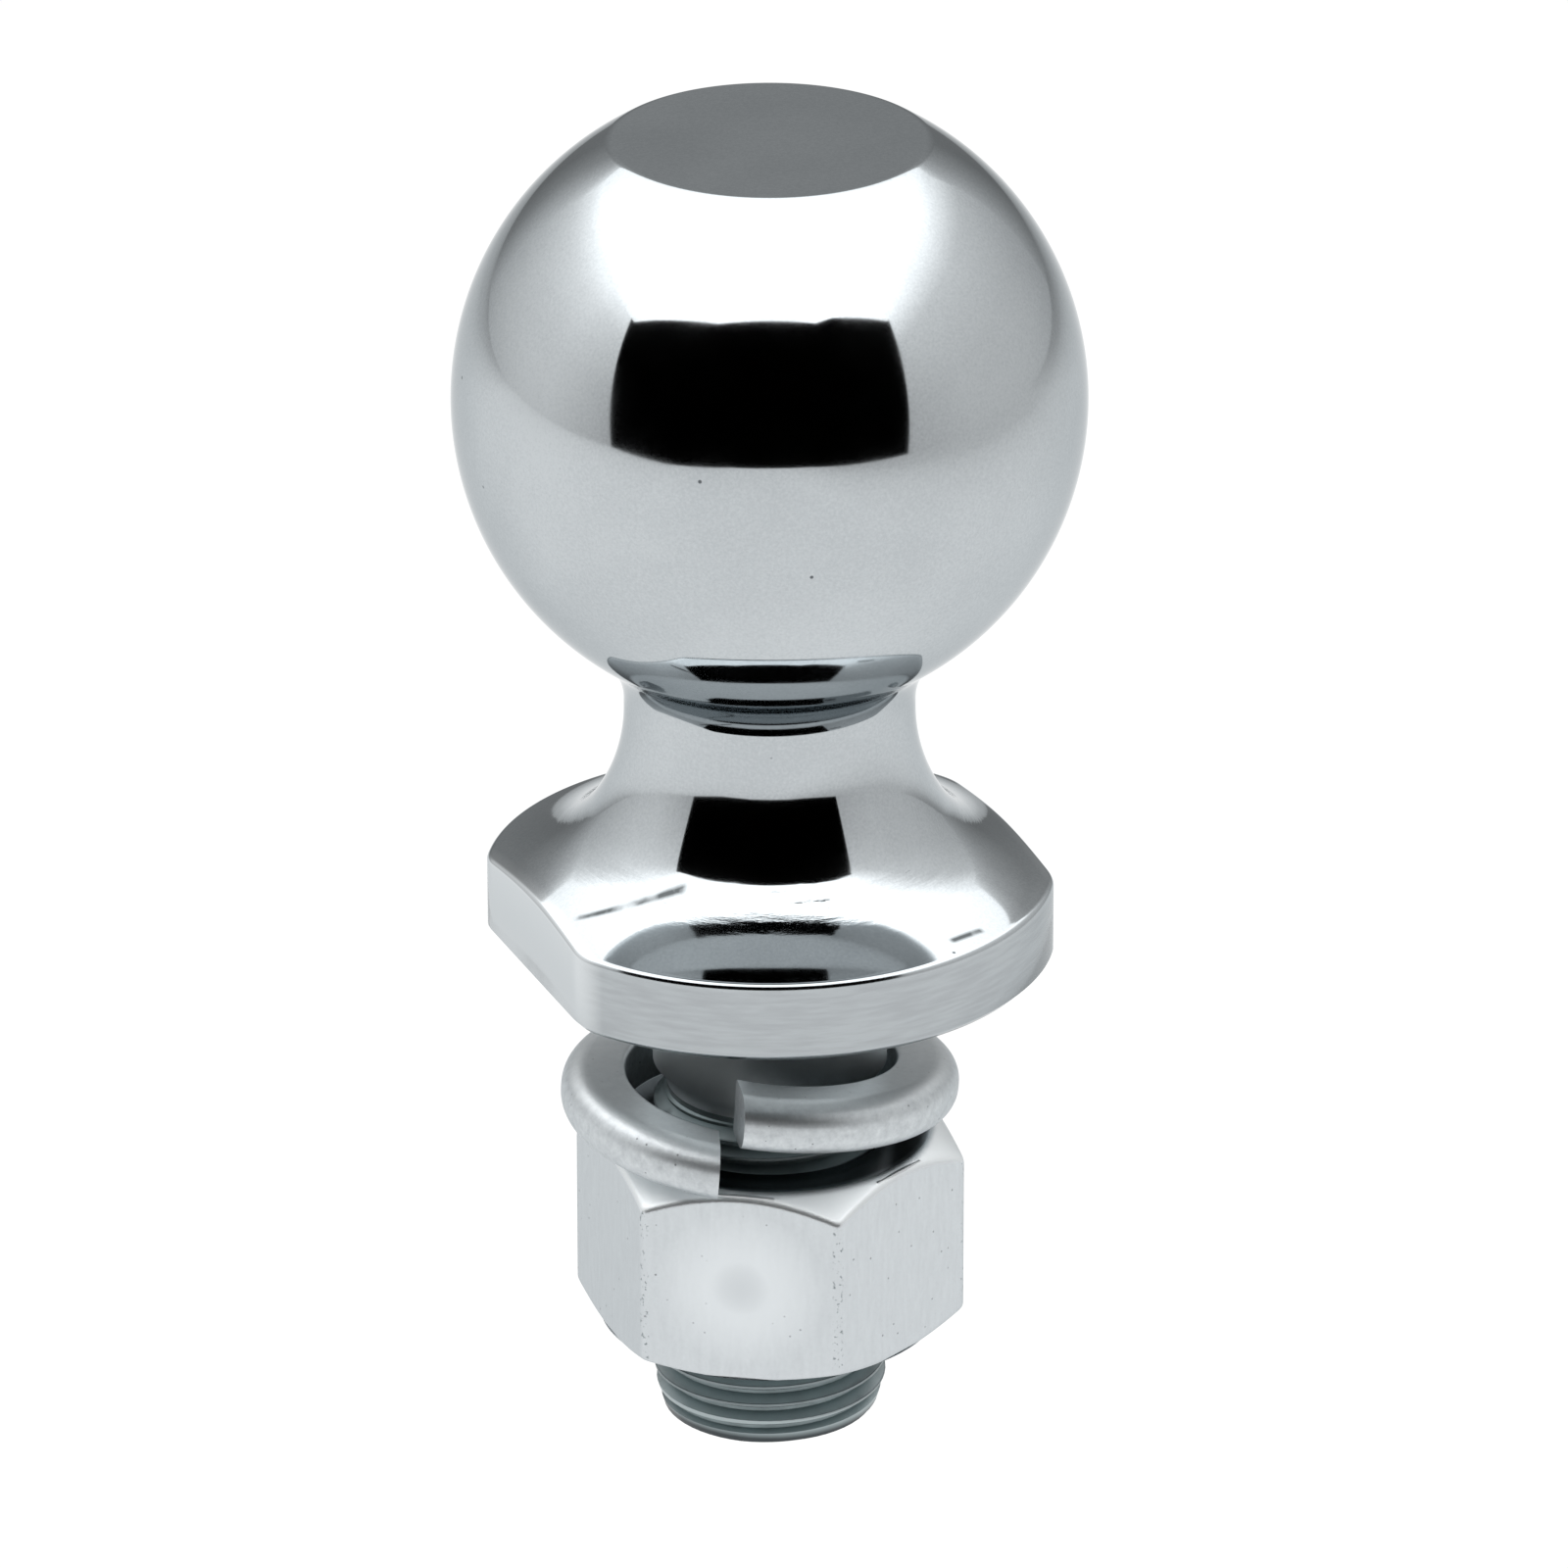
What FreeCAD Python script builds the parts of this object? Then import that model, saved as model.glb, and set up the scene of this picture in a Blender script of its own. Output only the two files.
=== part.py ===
"""Trailer hitch ball: one forging for the ball, flange and threaded shank, a split lock washer and a hex nut.

Millimetres. The origin is the middle of the flange's underside, where the ball sits on the drawbar. +Z points
up to the ball, the flange's two wrench flats face +X and -X, and the shank hangs down along -Z.
"""
import FreeCAD
import Part
import math
import os

import Sketcher

Vector = FreeCAD.Vector

# Driving dimensions. Heights are measured from the flange's underside, and angles are in degrees.
SIZES = {
    # ball
    "ball_radius": 25.4,  # 2 in ball
    "ball_centre": 47.7,
    "flat_rise": 21.95,  # from the ball's centre to the flat top
    "flat_edge_radius": 1.2,
    # neck, and the three tangent arcs that sweep it out into the flange
    "neck_radius": 11.75,
    "neck_blend": 6.0,  # fillet under the ball
    "neck_foot": 21.17,  # where the neck starts to widen
    "sweep_radius_a": 16.35,
    "sweep_angle_a": 32.0,
    "sweep_radius_b": 11.15,
    "sweep_angle_b": 28.2,
    "sweep_radius_c": 18.45,
    # flange
    "flange_radius": 23.1,
    "rim_radius": 0.6,  # rounding of the upper edge, flats included
    "bevel": 0.8,  # lower edge, flats included
    "across_flats": 41.275,  # 1-5/8 in wrench
    "flat_corner": 5.0,
    "flat_depth": 12.0,
    # shank
    "shank_radius": 9.525,  # 3/4 in
    "shank_length": 41.0,
    "plain_length": 10.0,
    "relief_end": 13.6,
    "relief_radius": 8.4,
    "tip_radius": 8.75,
    "tip_taper": 2.6,
    # 3/4-16 UNF thread, 60 degree flanks
    "pitch": 1.5875,
    "major_radius": 9.5,
    "thread_depth": 0.974,
    "groove_floor": 0.264,
    "groove_overrun": 0.2,  # how far a cutter stands out of the metal
    # hex nut
    "nut_across_flats": 28.0,  # 1-1/8 in wrench, made inside its tolerance of 27.6 to 28.6
    "nut_height": 16.8,
    "nut_top": -16.1,
    "nut_angle": -1.7,
    "nut_face_radius": 13.5,
    "nut_top_slope": 38.0,  # of the turned corners
    "nut_foot_slope": 26.0,
    "nut_bore_radius": 8.75,
    "nut_mouth_radius": 9.9,
    "nut_groove_radius": 9.7,
    "nut_groove_floor": 0.198,
    # split lock washer
    "washer_outer_radius": 16.16,
    "washer_width": 5.2,
    "washer_thickness": 4.6,
    "washer_outer_edge": 2.1,  # rounding of the two outer edges
    "washer_inner_edge": 0.5,
    "washer_lead": 4.72,
    "washer_sweep": 353.8,
    "washer_cut_offset": 3.7,  # the sheared ends lie in planes this far from the axis
    "washer_seat": -14.57,  # middle of the section at the low end
    "washer_angle": -110.1,  # turns the low end round the shank
    "washer_shift": 1.16,  # the loose washer hangs off centre
    "washer_shift_angle": -167.3,
    "washer_tilt": 4.9,  # and leans, with its high side here:
    "washer_high_side": -160.9,
}

doc = FreeCAD.newDocument("hitch_ball")
sheet = doc.addObject("Spreadsheet::Sheet", "sizes")
for row, (alias, value) in enumerate(SIZES.items(), start=1):
    sheet.set(f"A{row}", alias)
    sheet.set(f"B{row}", str(value))
    sheet.setAlias(f"B{row}", alias)
doc.recompute()


def origin_feature(body, role):
    """The body's own origin plane or axis with this role."""
    return next(o for o in body.Origin.OriginFeatures if o.Role == role)


def new_body(label):
    body = doc.addObject("PartDesign::Body", label)
    body.Label = label
    return body


def new_sketch(body, name, role="XZ_Plane"):
    """An empty sketch on one of the body's origin planes. On XZ_Plane, x is a radius and y is a height."""
    sketch = body.newObject("Sketcher::SketchObject", name)
    sketch.AttachmentSupport = (origin_feature(body, role), [""])
    sketch.MapMode = "FlatFace"
    return sketch


def worth(expression):
    """What an expression on the size sheet comes to, in millimetres or degrees."""
    found = sheet.evalExpression(expression.replace("sizes.", ""))
    return getattr(found, "Value", found)


def bind(sketch, kind, where, expression):
    """Adds a constraint between these places of a sketch and drives its value from the size sheet."""
    amount = worth(expression)
    if kind == "Angle":
        amount = math.radians(amount)
    index = sketch.addConstraint(Sketcher.Constraint(kind, *where, amount))
    sketch.setExpression(f"Constraints[{index}]", expression)


def place(sketch, geometry, end, x, y):
    """Drives both coordinates of one end of a sketch line. x and y are expressions, or "axis" for on it."""
    if x == "axis":
        sketch.addConstraint(Sketcher.Constraint("PointOnObject", geometry, end, -2))
    else:
        bind(sketch, "DistanceX", (-1, 1, geometry, end), x)
    if y == "axis":
        sketch.addConstraint(Sketcher.Constraint("PointOnObject", geometry, end, -1))
    else:
        bind(sketch, "DistanceY", (-1, 1, geometry, end), y)


def polygon(sketch, corners):
    """A closed outline of straight lines, with a pair of driving expressions for each corner."""
    first = sketch.GeometryCount
    count = len(corners)
    spots = [Vector(*[0.0 if way == "axis" else worth(way) for way in corner]) for corner in corners]
    for i in range(count):
        sketch.addGeometry(Part.LineSegment(spots[i], spots[(i + 1) % count]), False)
    for i in range(count):
        following = first + (i + 1) % count
        sketch.addConstraint(Sketcher.Constraint("Coincident", first + i, 2, following, 1))
    for i, (x, y) in enumerate(corners):
        place(sketch, first + i, 1, x, y)


def arc(centre, radius, start_angle, end_angle):
    """An anticlockwise arc for a sketch, with its angles in radians."""
    circle = Part.Circle(Vector(*centre), Vector(0, 0, 1), radius)
    return Part.ArcOfCircle(circle, start_angle, end_angle)


def bearing(start, end):
    """Direction from one sketch point to another, in radians."""
    return math.atan2(end[1] - start[1], end[0] - start[0])


def swept(start, radius, normal):
    """The middle of a concave arc, from its start and the direction that the surface faces there."""
    return start[0] + radius * math.cos(normal), start[1] + radius * math.sin(normal)


def revolve(body, sketch, name, kind="PartDesign::Revolution"):
    feature = body.newObject(kind, name)
    feature.Profile = sketch
    feature.ReferenceAxis = (sketch, ["V_Axis"])
    feature.Angle = 360.0
    return feature


def helix(body, sketch, name, kind, pitch, height):
    """A helical sweep round the body's Z axis. pitch and height are expressions."""
    feature = body.newObject(kind, name)
    feature.Profile = sketch
    feature.ReferenceAxis = (origin_feature(body, "Z_Axis"), [""])
    feature.Mode = "pitch-height-angle"
    feature.setExpression("Pitch", pitch)
    feature.setExpression("Height", height)
    return feature


def head_outline(sketch):
    """Half section of the ball, neck and flange: a chain of tangent lines and arcs from the flat top down."""
    s = SIZES
    middle = (0.0, s["ball_centre"])
    top = s["ball_centre"] + s["flat_rise"]
    edge = s["flat_edge_radius"]
    reach = s["ball_radius"] - edge
    edge_middle = (math.sqrt(reach**2 - (s["flat_rise"] - edge) ** 2), top - edge)
    blend = s["neck_blend"]
    blend_x = s["neck_radius"] + blend
    blend_drop = math.sqrt((s["ball_radius"] + blend) ** 2 - blend_x**2)
    blend_middle = (blend_x, s["ball_centre"] - blend_drop)

    # the surface's normal turns upwards by one sweep angle after the other
    turn_a = math.radians(s["sweep_angle_a"])
    turn_b = turn_a + math.radians(s["sweep_angle_b"])
    foot = (s["neck_radius"], s["neck_foot"])
    middle_a = swept(foot, s["sweep_radius_a"], 0.0)
    end_a = swept(middle_a, -s["sweep_radius_a"], turn_a)
    middle_b = swept(end_a, s["sweep_radius_b"], turn_a)
    end_b = swept(middle_b, -s["sweep_radius_b"], turn_b)
    middle_c = swept(end_b, s["sweep_radius_c"], turn_b)
    flange = s["flange_radius"]
    turn_c = math.acos((middle_c[0] - flange) / s["sweep_radius_c"])
    rim_height = middle_c[1] - s["sweep_radius_c"] * math.sin(turn_c)

    down = bearing(middle, blend_middle)
    chain = [
        Part.LineSegment(Vector(0, top), Vector(edge_middle[0], top)),
        arc(edge_middle, edge, bearing(middle, edge_middle), math.pi / 2),
        arc(middle, s["ball_radius"], down, bearing(middle, edge_middle)),
        arc(blend_middle, blend, down + math.pi, math.pi),
        Part.LineSegment(Vector(s["neck_radius"], blend_middle[1]), Vector(*foot)),
        arc(middle_a, s["sweep_radius_a"], math.pi, math.pi + turn_a),
        arc(middle_b, s["sweep_radius_b"], math.pi + turn_a, math.pi + turn_b),
        arc(middle_c, s["sweep_radius_c"], math.pi + turn_b, math.pi + turn_c),
        Part.LineSegment(Vector(flange, rim_height), Vector(flange, 0)),
        Part.LineSegment(Vector(flange, 0), Vector(0, 0)),
        Part.LineSegment(Vector(0, 0), Vector(0, top)),
    ]
    sketch.addGeometry(chain, False)


def drive_head(sketch):
    """Constrains the head outline. Its pieces are numbered from the top: 1, 2, 3, 5, 6 and 7 are arcs."""
    # (piece, its end, next piece, its start, tangent). Arcs run anticlockwise, so some are entered at the end.
    joints = [
        (0, 2, 1, 2, True),
        (1, 1, 2, 2, True),
        (2, 1, 3, 1, True),
        (3, 2, 4, 1, True),
        (4, 2, 5, 1, True),
        (5, 2, 6, 1, True),
        (6, 2, 7, 1, True),
        (7, 2, 8, 1, False),
        (8, 2, 9, 1, False),
        (9, 2, 10, 1, False),
        (10, 2, 0, 1, False),
    ]
    for one, end, other, start, tangent in joints:
        kind = "Tangent" if tangent else "Coincident"
        sketch.addConstraint(Sketcher.Constraint(kind, one, end, other, start))
    sketch.addConstraint(Sketcher.Constraint("Horizontal", 0))
    sketch.addConstraint(Sketcher.Constraint("Vertical", 4))
    sketch.addConstraint(Sketcher.Constraint("Vertical", 8))
    sketch.addConstraint(Sketcher.Constraint("PointOnObject", 0, 1, -2))
    sketch.addConstraint(Sketcher.Constraint("PointOnObject", 2, 3, -2))
    radii = {
        1: "flat_edge_radius",
        2: "ball_radius",
        3: "neck_blend",
        5: "sweep_radius_a",
        6: "sweep_radius_b",
        7: "sweep_radius_c",
    }
    for piece, alias in radii.items():
        bind(sketch, "Radius", (piece,), f"sizes.{alias}")
    for piece, alias in {5: "sweep_angle_a", 6: "sweep_angle_b"}.items():
        bind(sketch, "Angle", (piece,), f"sizes.{alias} * 1 deg")
    heights = [
        (2, 3, "sizes.ball_centre"),
        (0, 1, "sizes.ball_centre + sizes.flat_rise"),
        (4, 2, "sizes.neck_foot"),
    ]
    for piece, end, expression in heights:
        bind(sketch, "DistanceY", (-1, 1, piece, end), expression)
    bind(sketch, "DistanceX", (-1, 1, 4, 2), "sizes.neck_radius")
    place(sketch, 9, 1, "sizes.flange_radius", "axis")
    sketch.addConstraint(Sketcher.Constraint("Coincident", 9, 2, -1, 1))


# Hitch ball: one forging, turned, with the flats cut across the flange and the thread cut on the shank.
ball = new_body("hitch_ball")
head_sketch = new_sketch(ball, "head_outline")
head_outline(head_sketch)
drive_head(head_sketch)
doc.recompute()
revolve(ball, head_sketch, "head")
doc.recompute()

shank_sketch = new_sketch(ball, "shank_outline")
relief_top = "-sizes.plain_length - (sizes.shank_radius - sizes.relief_radius)"
relief_foot = "-sizes.relief_end + (sizes.major_radius - sizes.relief_radius)"
overlap = "sizes.bevel"  # the shank reaches up into the flange, so that the two join
shank_corners = [
    ("axis", overlap),
    ("sizes.shank_radius", overlap),
    ("sizes.shank_radius", "-sizes.plain_length"),
    ("sizes.relief_radius", relief_top),
    ("sizes.relief_radius", relief_foot),
    ("sizes.major_radius", "-sizes.relief_end"),
    ("sizes.major_radius", "sizes.tip_taper - sizes.shank_length"),
    ("sizes.tip_radius", "-sizes.shank_length"),
    ("axis", "-sizes.shank_length"),
]
polygon(shank_sketch, shank_corners)
doc.recompute()
revolve(ball, shank_sketch, "shank")
doc.recompute()

# One wrench flat, which rounds off into the flange's own edge at both ends, and its copy half a turn away.
flat_sketch = new_sketch(ball, "flat_outline", "XY_Plane")
half = SIZES["across_flats"] / 2
corner = SIZES["flat_corner"]
corner_x = half - corner
corner_y = math.sqrt((SIZES["flange_radius"] - corner) ** 2 - corner_x**2)
corner_turn = math.atan2(corner_y, corner_x)
leave = Vector(math.cos(corner_turn), math.sin(corner_turn)) * SIZES["flange_radius"]
arrive = Vector(leave.x, -leave.y)
beyond = 1.5  # the cut reaches this many flange radii out
flat_loop = [
    Part.LineSegment(Vector(half, -corner_y), Vector(half, corner_y)),
    arc((corner_x, corner_y), corner, 0.0, corner_turn),
    Part.LineSegment(leave, leave * beyond),
    Part.LineSegment(leave * beyond, arrive * beyond),
    Part.LineSegment(arrive * beyond, arrive),
    arc((corner_x, -corner_y), corner, -corner_turn, 0.0),
]
flat_sketch.addGeometry(flat_loop, False)
for one, one_end, other, other_end, kind in [
    (0, 2, 1, 1, "Tangent"),
    (1, 2, 2, 1, "Coincident"),
    (2, 2, 3, 1, "Coincident"),
    (3, 2, 4, 1, "Coincident"),
    (4, 2, 5, 1, "Coincident"),
    (5, 2, 0, 1, "Tangent"),
]:
    flat_sketch.addConstraint(Sketcher.Constraint(kind, one, one_end, other, other_end))
corner_x_now = "(sizes.across_flats / 2 - sizes.flat_corner)"
corner_y_now = f"sqrt((sizes.flange_radius - sizes.flat_corner)^2 - {corner_x_now}^2)"
grown = "sizes.flange_radius / (sizes.flange_radius - sizes.flat_corner)"
place(flat_sketch, 1, 3, corner_x_now, corner_y_now)
place(flat_sketch, 5, 3, corner_x_now, f"-{corner_y_now}")
bind(flat_sketch, "Radius", (1,), "sizes.flat_corner")
bind(flat_sketch, "DistanceY", (-1, 1, 2, 1), f"{corner_y_now} * {grown}")
bind(flat_sketch, "DistanceY", (-1, 1, 5, 1), f"-{corner_y_now} * {grown}")
place(flat_sketch, 3, 1, f"{corner_x_now} * {grown} * {beyond}", f"{corner_y_now} * {grown} * {beyond}")
place(flat_sketch, 4, 1, f"{corner_x_now} * {grown} * {beyond}", f"-{corner_y_now} * {grown} * {beyond}")
doc.recompute()
flat_cut = ball.newObject("PartDesign::Pocket", "flat_cut")
flat_cut.Profile = flat_sketch
flat_cut.Reversed = True
flat_cut.setExpression("Length", "sizes.flat_depth")
doc.recompute()
flats = ball.newObject("PartDesign::PolarPattern", "flats")
flats.Originals = [flat_cut]
flats.Axis = (origin_feature(ball, "Z_Axis"), [""])
flats.Angle = 360.0
flats.Occurrences = 2
ball.Tip = flats
doc.recompute()


def outline_edges(feature, lowest, highest):
    """Names of the edges that run round the flange, all of their length between two heights."""
    names = []
    for number, side in enumerate(feature.Shape.Edges, start=1):
        ends = [side.valueAt(side.FirstParameter), side.valueAt(side.LastParameter)]
        middle = side.valueAt((side.FirstParameter + side.LastParameter) / 2)
        outside = all(math.hypot(p.x, p.y) > half - 0.1 for p in [*ends, middle])
        level = all(lowest <= p.z <= highest for p in [*ends, middle])
        if outside and level:
            names.append(f"Edge{number}")
    return names


rim = ball.newObject("PartDesign::Fillet", "rim")
rim.Base = (flats, outline_edges(flats, 1.0, SIZES["flat_depth"]))
rim.setExpression("Radius", "sizes.rim_radius")
doc.recompute()
bevel = ball.newObject("PartDesign::Chamfer", "bevel")
bevel.Base = (rim, outline_edges(rim, -0.001, 0.001))
bevel.setExpression("Size", "sizes.bevel")
ball.Tip = bevel
doc.recompute()


def thread_groove(body, name, floor_radius, floor_width, mouth_radius, height):
    """Section of a thread groove with 60 degree flanks. Everything is an expression."""
    sketch = new_sketch(body, name)
    flare = f"abs({mouth_radius} - {floor_radius}) * tan(30 deg)"
    corners = [
        (floor_radius, f"{height} - {floor_width} / 2"),
        (floor_radius, f"{height} + {floor_width} / 2"),
        (mouth_radius, f"{height} + {floor_width} / 2 + {flare}"),
        (mouth_radius, f"{height} - {floor_width} / 2 - {flare}"),
    ]
    polygon(sketch, corners)
    return sketch


# The thread starts inside the relief groove and runs out of the shank's end. Its start is turned so that the
# nut's own thread fits between its ridges where the nut stands.
shank_groove = thread_groove(
    ball,
    "shank_thread_section",
    "(sizes.major_radius - sizes.thread_depth)",
    "sizes.groove_floor",
    "(sizes.major_radius + sizes.groove_overrun)",
    "(sizes.nut_top + sizes.pitch * (2.5 - sizes.nut_angle / 360))",
)
doc.recompute()
threaded_length = "sizes.shank_length + sizes.nut_top + 4 * sizes.pitch"  # past the end
shank_thread = helix(
    ball, shank_groove, "shank_thread", "PartDesign::SubtractiveHelix", "sizes.pitch", threaded_length
)
shank_thread.Reversed = True
ball.Tip = shank_thread
doc.recompute()

# Hex nut, with its top face at z = 0 while it is built.
nut = new_body("hex_nut")
hex_sketch = new_sketch(nut, "hexagon", "XY_Plane")
hex_corners = [
    (
        f"sizes.nut_across_flats / 2 / cos(30 deg) * cos({60 * i + 30} deg)",
        f"sizes.nut_across_flats / 2 / cos(30 deg) * sin({60 * i + 30} deg)",
    )
    for i in range(6)
]
polygon(hex_sketch, hex_corners)
doc.recompute()
hexagon = nut.newObject("PartDesign::Pad", "hex_block")
hexagon.Profile = hex_sketch
hexagon.Reversed = True
hexagon.setExpression("Length", "sizes.nut_height")
doc.recompute()

# both faces are turned back to a circle, which leaves an arched edge on each of the six sides
corner_sketch = new_sketch(nut, "corner_outline")
clear = "(sizes.nut_across_flats * 0.65)"  # outside the hexagon's corners
face = "sizes.nut_face_radius"
foot = "-sizes.nut_height"
top_drop = f"({clear} - {face}) * tan(sizes.nut_top_slope * 1 deg)"
foot_rise = f"({clear} - {face}) * tan(sizes.nut_foot_slope * 1 deg)"
polygon(corner_sketch, [(face, "axis"), (clear, "axis"), (clear, f"-{top_drop}")])
polygon(corner_sketch, [(face, foot), (clear, f"{foot} + {foot_rise}"), (clear, foot)])
doc.recompute()
revolve(nut, corner_sketch, "corners_cut", "PartDesign::Groove")
doc.recompute()

bore_sketch = new_sketch(nut, "bore_outline")
bore = "sizes.nut_bore_radius"
mouth = "sizes.nut_mouth_radius"
sink = f"({mouth} - {bore})"
bore_corners = [
    ("axis", "axis"),
    (mouth, "axis"),
    (bore, f"-{sink}"),
    (bore, f"{foot} + {sink}"),
    (mouth, foot),
    ("axis", foot),
]
polygon(bore_sketch, bore_corners)
doc.recompute()
revolve(nut, bore_sketch, "bored", "PartDesign::Groove")
doc.recompute()

nut_groove = thread_groove(
    nut,
    "nut_thread_section",
    "sizes.nut_groove_radius",
    "sizes.nut_groove_floor",
    "(sizes.nut_bore_radius - sizes.groove_overrun)",
    "(sizes.pitch * 2)",
)
doc.recompute()
nut_thread_length = "sizes.nut_height + 4 * sizes.pitch"  # past both faces
nut_thread = helix(
    nut, nut_groove, "nut_thread", "PartDesign::SubtractiveHelix", "sizes.pitch", nut_thread_length
)
nut_thread.Reversed = True
nut.Tip = nut_thread
doc.recompute()
nut.setExpression("Placement.Base.z", "sizes.nut_top")
nut.setExpression("Placement.Rotation.Angle", "sizes.nut_angle * 1 deg")

# Split lock washer: its section is wound almost once round, left-handed, so its low end leads. The section
# lies in the plane of the sheared end, which passes beside the axis.
washer = new_body("lock_washer")
section = new_sketch(washer, "washer_section")
section.setExpression("AttachmentOffset.Base.z", "sizes.washer_cut_offset")


def across_cut(radius):
    """How far along the sheared end a radius lies, as an expression."""
    return f"sqrt(({radius})^2 - sizes.washer_cut_offset^2)"


outer_side = across_cut("sizes.washer_outer_radius")
inner_side = across_cut("sizes.washer_outer_radius - sizes.washer_width")
outer = worth(outer_side)
inner = worth(inner_side)
tall = SIZES["washer_thickness"] / 2
wide_edge = SIZES["washer_outer_edge"]
small_edge = SIZES["washer_inner_edge"]
quarter = math.pi / 2
rounded = [
    Part.LineSegment(Vector(inner + small_edge, -tall), Vector(outer - wide_edge, -tall)),
    arc((outer - wide_edge, wide_edge - tall), wide_edge, -quarter, 0.0),
    Part.LineSegment(Vector(outer, wide_edge - tall), Vector(outer, tall - wide_edge)),
    arc((outer - wide_edge, tall - wide_edge), wide_edge, 0.0, quarter),
    Part.LineSegment(Vector(outer - wide_edge, tall), Vector(inner + small_edge, tall)),
    arc((inner + small_edge, tall - small_edge), small_edge, quarter, 2 * quarter),
    Part.LineSegment(Vector(inner, tall - small_edge), Vector(inner, small_edge - tall)),
    arc((inner + small_edge, small_edge - tall), small_edge, 2 * quarter, 3 * quarter),
]
section.addGeometry(rounded, False)
for i in range(8):
    section.addConstraint(Sketcher.Constraint("Tangent", i, 2, (i + 1) % 8, 1))
for i in (0, 4):
    section.addConstraint(Sketcher.Constraint("Horizontal", i))
for i in (2, 6):
    section.addConstraint(Sketcher.Constraint("Vertical", i))
section.addConstraint(Sketcher.Constraint("Equal", 1, 3))
section.addConstraint(Sketcher.Constraint("Equal", 5, 7))
bind(section, "Radius", (1,), "sizes.washer_outer_edge")
bind(section, "Radius", (5,), "sizes.washer_inner_edge")
place(section, 1, 2, outer_side, "sizes.washer_outer_edge - sizes.washer_thickness / 2")
place(section, 5, 2, inner_side, "sizes.washer_thickness / 2 - sizes.washer_inner_edge")
doc.recompute()
coil = helix(
    washer,
    section,
    "coil",
    "PartDesign::AdditiveHelix",
    "sizes.washer_lead",
    "sizes.washer_lead * sizes.washer_sweep / 360",
)
coil.LeftHanded = True
doc.recompute()


def level_direction(angle):
    """A level direction at this angle in degrees from +X."""
    return Vector(math.cos(math.radians(angle)), math.sin(math.radians(angle)), 0)


washer_place = level_direction(SIZES["washer_shift_angle"]) * SIZES["washer_shift"]
washer_place.z = SIZES["washer_seat"]
lean_axis = level_direction(SIZES["washer_high_side"] + 90)
lean = FreeCAD.Rotation(lean_axis, -SIZES["washer_tilt"])
washer.Placement = FreeCAD.Placement(
    washer_place, lean * FreeCAD.Rotation(Vector(0, 0, 1), SIZES["washer_angle"])
)
doc.recompute()

broken = [o.Name for o in doc.Objects if "Invalid" in o.State or "Error" in o.State]
if broken:
    raise RuntimeError(f"objects that did not build: {broken}")
os.makedirs("parts", exist_ok=True)
for body in (ball, washer, nut):
    if body.Shape.isNull() or not body.Shape.isValid():
        raise RuntimeError(f"{body.Label} has no sound shape")
    body.Shape.exportStep(f"parts/{body.Label}.step")
    print(body.Label, round(body.Shape.Volume, 1), body.Shape.BoundBox)
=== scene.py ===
"""Looks for the trailer hitch ball: bright chrome, satin zinc, and the white light tent that it stands in.

Metres, in the CAD frame: the flange's underside is at z = 0 and the shank hangs down along -Z.
"""
import math

import bmesh
import bpy
from mathutils import Matrix, Vector


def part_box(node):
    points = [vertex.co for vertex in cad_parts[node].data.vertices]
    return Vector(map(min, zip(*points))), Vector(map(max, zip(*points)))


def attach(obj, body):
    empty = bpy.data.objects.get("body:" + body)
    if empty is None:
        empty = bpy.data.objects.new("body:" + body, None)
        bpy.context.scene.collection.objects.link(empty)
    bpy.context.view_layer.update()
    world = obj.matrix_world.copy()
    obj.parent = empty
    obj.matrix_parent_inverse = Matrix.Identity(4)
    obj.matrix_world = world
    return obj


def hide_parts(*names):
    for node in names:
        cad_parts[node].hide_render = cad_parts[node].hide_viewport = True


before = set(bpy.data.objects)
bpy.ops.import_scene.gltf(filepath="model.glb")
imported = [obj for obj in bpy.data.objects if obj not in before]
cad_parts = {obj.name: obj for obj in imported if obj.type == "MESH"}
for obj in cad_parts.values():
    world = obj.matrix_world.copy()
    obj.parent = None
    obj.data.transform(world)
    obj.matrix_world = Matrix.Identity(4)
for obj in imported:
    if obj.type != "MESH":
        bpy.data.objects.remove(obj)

scene = bpy.context.scene
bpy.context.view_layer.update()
ball_low, ball_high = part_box("hitch_ball")
nut_low, nut_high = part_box("hex_nut")
MM = 0.001

# The ball, its neck and the three arcs that sweep the neck out into the flange.
BALL_RADIUS = (ball_high.x - ball_low.x) / 2
FLAT_RISE = 21.95 * MM  # from the ball's centre to the flat top
FLAT_EDGE = 1.2 * MM
FLAT_RING_INSETS = (4 * FLAT_EDGE, FLAT_EDGE / 6)  # two rings of the flat top, inside its rounded edge
BALL_HEIGHT = ball_high.z - FLAT_RISE
NECK_RADIUS = 11.75 * MM
NECK_BLEND = 6.0 * MM
NECK_FOOT = 21.17 * MM
SWEEPS = [(16.35 * MM, math.radians(32.0)), (11.15 * MM, math.radians(28.2))]  # radius and angle
LAST_SWEEP = 18.45 * MM  # its radius: it ends at the flange's rim

# The flange and its two wrench flats, which face +X and -X.
FLANGE_RADIUS = 23.1 * MM
RIM = 0.6 * MM
BEVEL = 0.8 * MM
HALF_ACROSS = 41.275 / 2 * MM
FLAT_CORNER = 5.0 * MM

# The shank down to the middle of its relief groove, where the thread takes over.
SHANK_RADIUS = 9.525 * MM
PLAIN_LENGTH = 10.0 * MM
RELIEF_RADIUS = 8.4 * MM
THREAD_START = -12.0 * MM

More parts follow.
